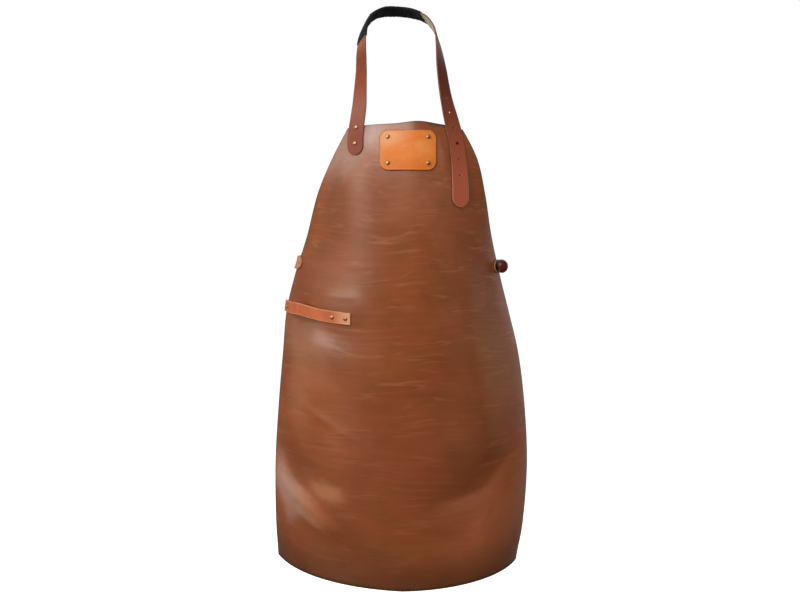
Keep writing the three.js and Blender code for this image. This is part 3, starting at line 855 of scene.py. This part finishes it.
def calmUnder(across, below):  # calms the creases where a strap or the patch lies on the panel
    calm = np.ones(np.broadcast(across, below).shape)
    for x, z, halfX, halfZ in panel["covered"]:
        away = np.maximum(np.abs(across - x) - halfX, np.abs(below - z) - halfZ)
        calm = np.minimum(calm, np.clip(away / panel["calmRoom"], panel["calmLeast"], 1))
    return calm


def panelDetail():  # relief that the solids don't have: creases, fine creases and slow waves
    rng = np.random.default_rng(panel["seed"])
    fine = panel["fine"]
    count = fine["count"]
    fineRows = np.stack((
        rng.uniform(*fine["across"], count),
        rng.uniform(*fine["below"], count),
        rng.normal(0, fine["slant"], count),
        rng.uniform(*fine["reach"], count),
        rng.uniform(*fine["width"], count),
        rng.uniform(*fine["rise"], count),
    ), -1)
    fineRows[:, 5] *= np.where(rng.random(count) < fine["sunken"], -1, 1)
    waves = np.stack([rng.uniform(*limits, panel["waveCount"]) for limits in panel["waves"]], -1)

    def detail(across, below):
        rise = ridges(panel["creases"], across, below) + ridges(fineRows, across, below)
        for kx, kz, phase, high in waves:
            rise = rise + high * np.sin(across * kx + below * kz + phase)
        return rise * calmUnder(across, below)

    return detail


def makePanel():
    detail = panelDetail()
    thick, edge = panel["thick"], panel["edgeRound"]
    half, long = panel["cutHalf"], panel["cutLong"]
    sideWay, downWay = edge / half, edge / long
    slack = 1.01  # tells the border from what lies inside it
    turns = np.linspace(-1 + sideWay, 1 - sideWay, panel["columns"] + 1)
    shares = np.linspace(downWay, 1 - downWay, panel["rows"] + 1)
    turnGrid, shareGrid = (plane.ravel() for plane in np.meshgrid(turns, shares))
    count = len(turnGrid)
    index = np.arange(count).reshape(len(shares), len(turns))
    corners = (index[:-1, :-1], index[1:, :-1], index[1:, 1:], index[:-1, 1:])
    quads = np.stack(corners, -1).reshape(-1, 4)
    ring = np.concatenate((index[0, :-1], index[:-1, -1], index[-1, :0:-1], index[:0:-1, 0]))
    turnRing, shareRing = turnGrid[ring], shareGrid[ring]
    turnAll, shareAll = [turnGrid] * 2, [shareGrid] * 2
    lifts = [np.zeros(count), np.full(count, -thick)]
    faces = [quads, quads[:, ::-1] + count]
    kinds = [np.zeros(len(quads)), np.ones(len(quads))]
    rings = [ring]
    made = 2 * count
    for outset, height in rimProfile(thick, edge)[1:-1]:
        stretch = (edge + outset) / edge
        turnOut = np.sign(turnRing) * (1 - sideWay + sideWay * stretch)
        turnAll.append(np.where(np.abs(turnRing) > 1 - slack * sideWay, turnOut, turnRing))
        top, bottom = downWay * (1 - stretch), 1 - downWay * (1 - stretch)
        shareOut = np.where(shareRing > 1 - slack * downWay, bottom, shareRing)
        shareAll.append(np.where(shareRing < slack * downWay, top, shareOut))
        lifts.append(np.full(len(ring), height - thick / 2))
        rings.append(np.arange(len(ring)) + made)
        made += len(ring)
    rings.append(ring + count)
    for upper, lower in zip(rings, rings[1:]):
        faces.append(np.stack((upper, np.roll(upper, -1), np.roll(lower, -1), lower), -1))
        kinds.append(np.full(len(ring), 2))
    turnAll, shareAll = np.concatenate(turnAll), np.concatenate(shareAll)
    below = topBelow(turnAll) * (1 - shareAll) + hemBelow(turnAll) * shareAll
    points = offPanel(turnAll, below, np.concatenate(lifts), detail)[0]
    flat = np.stack((turnAll * half, shareAll * long), -1)
    fromEnds = np.minimum(shareAll, 1 - shareAll) * long
    edgeway = np.minimum((1 - np.abs(turnAll)) * half, fromEnds)
    materials = (grain["panelGrain"], flesh["panel"], cutEdge["panel"])
    return makePiece(
        "panel_leather", "apron_body", points, np.concatenate(faces),
        np.concatenate(kinds), materials, flat, edgeway,
    )


# Straps

straps = {  # what a strap has unless its own dictionary says otherwise
    "thick": 2.6,
    "layLift": 0.5,
    "rounded": True,
    "endLength": 17.0,
    "edgeRound": 0.9,
    "tipTurn": 7.5,  # degrees of each step round a tip
    "bluntSteps": 8,  # over half of a straight end
    "outlineStep": 3.0,
    "gridStep": 3.0,
    "pathSteps": 40,  # between two stations
}


def grainFacing(facing, lean):  # where the grain side looks
    facing, lean = math.radians(facing), math.radians(lean)
    level = math.cos(lean)
    return np.array((-math.sin(facing) * level, -math.cos(facing) * level, math.sin(lean)))


def freeRun(rows):  # stations off the panel: their places, and where the grain side looks
    return [row[:3] for row in rows], [grainFacing(*row[3:]) for row in rows]


def joinRuns(*runs):
    return strapPath(*(np.vstack(rows) for rows in zip(*runs)))


def strapPath(points, normals):  # centripetal curve through the stations: length and places
    padded = np.vstack((2 * points[0] - points[1], points, 2 * points[-1] - points[-2]))
    samples, looks = [], []
    weights = np.linspace(0, 1, straps["pathSteps"] + 1)[:, None]
    for i in range(len(points) - 1):
        p0, p1, p2, p3 = padded[i : i + 4]
        d0, d1, d2 = (math.sqrt(np.linalg.norm(b - a)) for a, b in ((p0, p1), (p1, p2), (p2, p3)))
        leave = ((p1 - p0) / d0 - (p2 - p0) / (d0 + d1) + (p2 - p1) / d1) * d1
        arrive = ((p2 - p1) / d1 - (p3 - p1) / (d1 + d2) + (p3 - p2) / d2) * d1
        w = weights if i == len(points) - 2 else weights[:-1]
        square = (3 * (p2 - p1) - 2 * leave - arrive) * w**2
        cube = (2 * (p1 - p2) + leave + arrive) * w**3
        samples.append(p1 + leave * w + square + cube)
        looks.append(normals[i] * (1 - w) + normals[i + 1] * w)
    samples, looks = np.vstack(samples), np.vstack(looks)
    tangents = unit(np.gradient(samples, axis=0))
    looks = unit(looks - tangents * (looks * tangents).sum(1, keepdims=True))
    run = np.concatenate(([0], np.cumsum(np.linalg.norm(np.diff(samples, axis=0), axis=1))))

    def at(distance):  # place, where the grain side looks, and sideways
        def pick(rows):
            return np.stack([np.interp(distance, run, rows[:, k]) for k in range(3)], -1)

        normal, tangent = unit(pick(looks)), unit(pick(tangents))
        return pick(samples), normal, np.cross(tangent, normal)

    return run[-1], at


def strapOutline(length, size):  # flat strap, along x, counterclockwise
    half = size["width"] / 2
    if size["rounded"]:
        end = size["endLength"]
        turns = np.radians(np.arange(size["tipTurn"], 90, size["tipTurn"]))
        nose = [(end - end * math.cos(t), half * math.sin(t)) for t in turns]
    else:
        end = 0.0
        nose = [(0.0, half * i / size["bluntSteps"]) for i in range(1, size["bluntSteps"])]
    steps = max(int((length - end - end) / size["outlineStep"]), 2)
    lower = [(0.0, 0.0)] + [(x, -y) for x, y in nose]
    lower += [(x, -half) for x in np.linspace(end, length - end, steps + 1)]
    lower += [(length - x, -y) for x, y in reversed(nose)]
    upper = [(x, -y) for x, y in reversed(lower[1:])]
    return np.array(lower + [(length, 0.0)] + upper)


def makeStrap(node, piece, path, grainName, cutName, holes=()):
    size = {**straps, **piece}
    length, at = path

    def place(along, across, height):
        points, normals, sideways = at(along)
        return points + sideways * across[:, None] + normals * height[:, None]

    materials = (grain[grainName], flesh["strap"], cutEdge[cutName])
    bendPiece(
        node + "_leather", node, strapOutline(length, size), holes, place, size["thick"],
        size["edgeRound"], size["gridStep"], materials,
    )


neck = {
    "width": 29.5,
    # across, below, how far it stands away, degrees it is turned to the front
    "leftOnBib": ((-81, 57, 0, 0), (-82.5, 34, 0, 0), (-80, 7, 0, 0)),
    # across, back, up, where the grain side faces and how far it leans up, in degrees
    "roundNeck": (
        (-76.5, 50, 24, 30, 12),
        (-75, 62, 52, 40, 15),
        (-73.5, 83, 99, 56, 22),
        (-74, 102, 133, 66, 28),
        (-71.7, 126, 164.5, 88, 36),
        (-60.5, 153, 192.5, 126, 52),
        (-40, 175, 209, 155, 68),
        (-7, 184, 212, 180, 73),
        (26, 177, 205.5, 205, 68),
        (46.3, 156, 190.5, 236, 48),
        (60, 131, 165, 266, 24),
        (65, 112, 137, 285, 20),
        (69, 90, 98, 305, 18),
        (74, 69, 56, 314, 16),
        (80, 54, 24, 324, 12),
    ),
    "rightOnBib": (
        (86.5, 7, 0, 0),
        (93, 36, 0, 0),
        (96.5, 64, 0, 0),
        (97.8, 92, 1.6, 8),
        (97.8, 124, 3.6, 16),
        (97, 147, 4.1, 18),
    ),
    "holeFromTip": 55.0,
    "holePitch": 28.3,
    "holes": 6,
    "holeRadius": 1.5,
    "studHole": 2,
    "rivets": {"neck_rivet_lower": 21.0, "neck_rivet_upper": 50.0},
}


def onBib(rows):
    across, below, away, turned = np.array(rows, float).T
    lift = straps["layLift"] + straps["thick"] / 2 + away
    points, normals = offPanel(turnAt(across, below), below, lift)
    turned = np.radians(turned)
    east = normals[:, 0] * np.cos(turned) + normals[:, 1] * np.sin(turned)
    north = normals[:, 1] * np.cos(turned) - normals[:, 0] * np.sin(turned)
    return points, np.stack((east, north, normals[:, 2]), -1)


def neckPath():
    left, right = onBib(neck["leftOnBib"]), onBib(neck["rightOnBib"])
    return joinRuns(left, freeRun(neck["roundNeck"]), right)


def neckHole(path, i):  # how far along the strap a hole is, counted from the free end
    return path[0] - neck["holeFromTip"] - i * neck["holePitch"]


def makeNeckStrap(path):
    places = [neckHole(path, i) for i in range(neck["holes"])]
    holes = [circleLoop((x, 0), neck["holeRadius"]) for x in places]
    makeStrap("neck_strap", neck, path, "strapGrain", "strap", holes)


# Neck pad

pad = {
    "start": 226.0,
    "end": 407.0,
    "width": 34.5,
    "thick": 7.6,
    "taper": 0.16,
    "boxy": 0.6,  # a lower power is more like a box
    "room": 0.7,
    "boreBoxy": (0.35, 0.45),  # across and through
    "lip": 0.010,  # share of the length over which the mouth's lip rounds off
    "lipTurns": (0, 30, 60),
    "lipScale": (0.93, 0.07),
    "around": 72,
    "along": 150,
    "boreRings": 40,
    "flatStep": 1.3,  # between rings
    "flatRadius": 12.0,
    # lumps made of waves, drawn at random between these limits
    "seed": 5,
    "lumps": 0.45,
    "lumpPower": 0.5,
    "waves": 26,
    "waveSum": 4.5,
    "wavesAround": (1, 7),
    "wavesAlong": (2, 34),
    "waveHigh": (0.2, 1.0),
}


def boxy(value, power):
    return np.sign(value) * np.abs(value) ** power


def makePad(path):
    rng = np.random.default_rng(pad["seed"])
    at = path[1]
    turns = np.arange(pad["around"]) * 2 * math.pi / pad["around"]
    x, y = np.sin(turns), np.cos(turns)

    def drawWave():
        around, along = rng.integers(*pad["wavesAround"]), rng.uniform(*pad["wavesAlong"])
        return around, along, rng.uniform(0, fullTurn), rng.uniform(*pad["waveHigh"])

    waves = [drawWave() for _ in range(pad["waves"])]

    def ringAt(share, across, out):
        distance = pad["start"] + (pad["end"] - pad["start"]) * share
        points, normals, sideways = at(np.array([distance]))
        return points + sideways * across[:, None] + normals * out[:, None]

    def outer(share, scale=1.0):
        swell = 1 - pad["taper"] * (2 * share - 1) ** 4
        lump = sum(h * np.sin(k * turns + w * share * fullTurn + p) for k, w, p, h in waves)
        lump = lump / pad["waveSum"] * pad["lumps"] * (1 - abs(2 * share - 1) ** 8)
        across = boxy(x, pad["boxy"]) * pad["width"] / 2 * scale
        out = boxy(y, pad["boxy"]) * pad["thick"] / 2 * swell * scale
        return ringAt(share, across, out + lump * boxy(y, pad["lumpPower"]))

    def bore(share):
        acrossPower, outPower = pad["boreBoxy"]
        across = boxy(x, acrossPower) * (neck["width"] / 2 + pad["room"])
        return ringAt(share, across, boxy(y, outPower) * (straps["thick"] / 2 + pad["room"]))

    lip, (least, gain) = pad["lip"], pad["lipScale"]
    lipTurns = np.radians(pad["lipTurns"])
    mouth = [(lip * (1 - math.cos(a)), least + gain * math.sin(a)) for a in lipTurns]
    shares = np.linspace(0, 1, pad["along"] + 1)
    rings = [outer(inset, scale) for inset, scale in mouth]
    rings += [outer(share) for share in shares if lip < share < 1 - lip]
    rings += [outer(1 - inset, scale) for inset, scale in reversed(mouth)]
    rings += [bore(share) for share in np.linspace(1, 0, pad["boreRings"])]
    size, count = pad["around"], len(rings)
    faces = []
    for k in range(count):
        upper, lower = k * size, (k + 1) % count * size
        for i in range(size):
            j = (i + 1) % size
            faces.append([upper + i, upper + j, lower + j, lower + i])
    flatAlong = np.repeat(np.arange(count), size) * pad["flatStep"]
    flat = np.stack((flatAlong, np.tile(turns, count) * pad["flatRadius"]), -1)
    piece = makePiece(
        "neck_pad_fleece", "neck_pad", np.vstack(rings), faces,
        np.zeros(len(faces)), (fleece,), flat,
    )


# Patch

patch = {
    "across": 8.0, "below": 49.0, "width": 97.0, "height": 69.5, "thick": 2.4, "corner": 15.0,
    "rivetAcross": 34.0, "rivetUp": 22.5, "edgeRound": 0.95,
    "grooveIn": 3.4, "grooveDeep": 0.35, "grooveWide": 1.0,  # creased line inside the border
    "cornerTurn": 7.5, "outlineStep": 3.0, "gridStep": 1.6,
}


def onPatch(across, up, lift):
    below = patch["below"] - np.asarray(up, float)
    return offPanel(turnAt(patch["across"] + np.asarray(across, float), below), below, lift)


def makePatch():
    corner = patch["corner"]
    wide, high = patch["width"] / 2 - corner, patch["height"] / 2 - corner
    outline = []
    for cx, cy, start in ((1, -1, -90), (1, 1, 0), (-1, 1, 90), (-1, -1, 180)):
        for a in np.radians(start + np.arange(0, 91, patch["cornerTurn"])):
            outline.append((cx * wide + corner * math.cos(a), cy * high + corner * math.sin(a)))
    loop = []
    for first, second in zip(outline, outline[1:] + outline[:1]):
        steps = max(int(math.dist(first, second) / patch["outlineStep"]), 1)
        first, way = np.array(first), np.array(second) - first
        loop += [tuple(first + way * i / steps) for i in range(steps)]
    loop = np.array(loop)

    def place(across, up, height):
        inset = np.array([edgeDistance(p, [loop]) for p in np.stack((across, up), -1)])
        offLine = (inset - patch["grooveIn"]) / patch["grooveWide"]
        groove = patch["grooveDeep"] * np.exp(-(offLine**2))
        lift = straps["layLift"] + patch["thick"] / 2 + height - np.where(height > 0, groove, 0)
        return onPatch(across, up, lift)[0]

    bendPiece(
        "patch_leather", "patch", loop, [], place, patch["thick"],
        patch["edgeRound"], patch["gridStep"],
        (grain["patchGrain"], flesh["strap"], cutEdge["patch"]),
    )


# Towel strap

towel = {
    "width": 21.5, "rounded": False, "edgeRound": 0.7, "gridStep": 2.4,
    "rightTurn": -0.328, "leftTurn": -1.02, "rightBelow": 342.0, "leftBelow": 333.0,
    "bowFrom": -0.5, "bowTo": -0.93, "bow": 11.0, "arch": 5.0,
    "stations": 26, "rivetTurns": (-0.361, -0.457, -0.965),
}


def towelStation(turn):  # level and lift off the panel
    share = (turn - towel["rightTurn"]) / (towel["leftTurn"] - towel["rightTurn"])
    bow = np.clip((turn - towel["bowFrom"]) / (towel["bowTo"] - towel["bowFrom"]), 0, 1)
    level = towel["rightBelow"] + (towel["leftBelow"] - towel["rightBelow"]) * share
    off = np.sin(math.pi * bow) ** 2
    return level - towel["arch"] * off, straps["layLift"] + towel["bow"] * off


def makeTowelStrap():
    turns = np.linspace(towel["rightTurn"], towel["leftTurn"], towel["stations"] + 1)
    below, lift = towelStation(turns)
    path = strapPath(*offPanel(turns, below, lift + straps["thick"] / 2))
    print("towel strap", round(path[0]), "mm long")
    makeStrap("towel_strap", towel, path, "towelGrain", "towel")


# Waist strap

waist = {
    "width": 24.5,
    "left": {"below": 250.0, "tip": -0.92, "fix": -0.962, "edge": -1.0},
    "right": {"below": 257.0, "tip": 0.895, "fix": 0.955, "edge": 1.0},
    "endStations": 5,
    "edgeLift": 0.7,
    # across, back, up, where the grain side faces and how far it leans up, in degrees
    "roundBack": (
        (-198, 157, -251, 80, 19),
        (-196, 190, -252, 100, 12),
        (-174, 234, -251, 135, 8),
        (-108, 268, -250, 163, 4),
        (0, 279, -250, 180, 2),
        (102, 268, -253, 197, 4),
        (160, 234, -258, 226, 8),
        (181, 190, -260, 259, 12),
        (184, 155, -259, 280, 19),
    ),
}


def waistLift(end, turn):  # the ends rise a little towards the panel's edge
    share = (turn - end["tip"]) / (end["edge"] - end["tip"])
    return straps["layLift"] + waist["edgeLift"] * share**2


def waistEnd(end):
    turns = np.linspace(end["tip"], end["edge"], waist["endStations"])
    return offPanel(turns, end["below"], waistLift(end, turns) + straps["thick"] / 2)


def makeWaistStrap():
    left, right = waistEnd(waist["left"]), waistEnd(waist["right"])
    path = joinRuns(left, freeRun(waist["roundBack"]), [rows[::-1] for rows in right])
    print("waist strap", round(path[0]), "mm long")
    makeStrap("waist_strap", waist, path, "waistGrain", "strap")


# Rivets, stud and knob

fasteners = {
    "gap": 0.3,
    "backRoom": 0.7,
    "sides": 40,
    "rivet": {"cap": 4.0, "brim": 0.5, "dome": 2.2, "post": 1.5, "disc": 3.6, "discThick": 1.0},
    "stud": {"cap": 2.4, "brim": 0.4, "dome": 1.0, "post": 1.15, "disc": 3.6, "discThick": 1.0},
    "knob": {
        "cap": 12.5, "brim": 1.6, "dome": 11.4, "post": 2.0, "disc": 6.0, "discThick": 1.2,
        "neck": 4.5, "neckHeight": 5.5,
    },
    "domeSteps": 12,
    "bevel": 0.2,
    "discBevel": 0.3,
    "neckFlare": 0.8,
    "footFlare": 0.4,
    "footHeight": 0.6,
    "flatRadius": 4.0,
}


def fastenerProfile(size, grip):  # radius and height, from the top of the cap to the disc behind
    cap, post, disc = size["cap"], size["post"], size["disc"]
    bevel, discBevel = fasteners["bevel"], fasteners["discBevel"]
    top = size.get("neckHeight", 0.0)
    arc = np.radians(np.linspace(0, 90, fasteners["domeSteps"] + 1))
    rows = [(cap * math.sin(a), top + size["brim"] + size["dome"] * math.cos(a)) for a in arc]
    rows += [(cap, top + bevel), (cap - bevel, top)]
    if "neck" in size:
        stem, flare = size["neck"], fasteners["neckFlare"]
        rows += [(stem + flare, top), (stem, top - flare)]
        rows += [(stem, fasteners["footHeight"]), (stem + fasteners["footFlare"], 0.0)]
    below = -grip - fasteners["gap"] - fasteners["backRoom"]
    under = below - size["discThick"]
    rows += [(post, 0.0), (post, below), (disc - bevel, below), (disc, below - bevel)]
    return rows + [(disc, under + discBevel), (disc - discBevel, under), (0.0, under)]


def makeFastener(node, kind, slot, point, normal, grip, *materials):  # the brim has the second one
    rows = fastenerProfile(fasteners[kind], grip)
    sides = fasteners["sides"]
    seat = point + normal * fasteners["gap"]
    first = unit(np.cross(normal, (0.0, 0.0, 1.0)))
    second = np.cross(normal, first)
    turns = np.arange(sides) * 2 * math.pi / sides
    spokes = np.cos(turns)[:, None] * first + np.sin(turns)[:, None] * second
    points, faces, kinds, flat = [seat + normal * rows[0][1]], [], [], [(0, 0)]
    brim = fasteners["domeSteps"] - 1 if len(materials) > 1 else -1
    for radius, height in rows[1:-1]:
        points += list(seat + normal * height + spokes * radius)
        flat += [(t * fasteners["flatRadius"], radius + height) for t in turns]
    points.append(seat + normal * rows[-1][1])
    flat.append((0, rows[-1][1]))
    end = len(points) - 1
    for i in range(sides):
        j = (i + 1) % sides
        faces.append([0, 1 + i, 1 + j])
        for k in range(len(rows) - 3):
            upper, lower = 1 + k * sides, 1 + (k + 1) * sides
            faces.append([upper + i, lower + i, lower + j, upper + j])
        faces.append([end, end - sides + j, end - sides + i])
        kinds += [0] + [int(k == brim) for k in range(len(rows) - 3)] + [0]
    makePiece(node + "_turned", node, np.array(points), faces, kinds, materials, flat)


def makeFasteners(path):
    strapGrip = straps["thick"] + straps["layLift"] + panel["thick"]

    def onStrap(distance):
        points, normals, _ = path[1](np.array([float(distance)]))
        return points[0] + normals[0] * straps["thick"] / 2, normals[0]

    for node, distance in neck["rivets"].items():
        makeFastener(node, "rivet", "brass_old", *onStrap(distance), strapGrip, brass)
    studAt = neckHole(path, neck["studHole"])
    makeFastener("neck_stud", "stud", "brass_old", *onStrap(studAt), strapGrip, bronzeAndHoleShade)
    patchTop = straps["layLift"] + patch["thick"]
    patchGrip = patchTop + panel["thick"]
    for i, (side, level) in enumerate(((-1, 1), (1, 1), (-1, -1), (1, -1))):
        spot = onPatch(side * patch["rivetAcross"], level * patch["rivetUp"], patchTop)
        makeFastener(f"patch_rivet_{i + 1}", "rivet", "brass_old", *spot, patchGrip, brass)
    for i, turn in enumerate(towel["rivetTurns"]):
        below, lift = towelStation(turn)
        spot = offPanel(turn, below, lift + straps["thick"])
        makeFastener(f"towel_rivet_{i + 1}", "rivet", "brass_old", *spot, strapGrip, brass)
    for node, kind, slot, side, materials in (
        ("waist_rivet", "stud", "brass_old", "left", (brass,)),
        ("waist_knob", "knob", "leather_dark", "right", (grain["knobGrain"], cutEdge["knob"])),
    ):
        end = waist[side]
        top = waistLift(end, end["fix"]) + straps["thick"]
        spot = offPanel(end["fix"], end["below"], top)
        makeFastener(node, kind, slot, *spot, top + panel["thick"], *materials)


body = makePanel()
print("panel made")
neckRun = neckPath()
makeNeckStrap(neckRun)
makePad(neckRun)
print("neck strap and pad made, strap", round(neckRun[0]), "mm long")
makePatch()
makeTowelStrap()
makeWaistStrap()
print("patch, towel strap and waist strap made")
makeFasteners(neckRun)
print("rivets, stud and knob made")
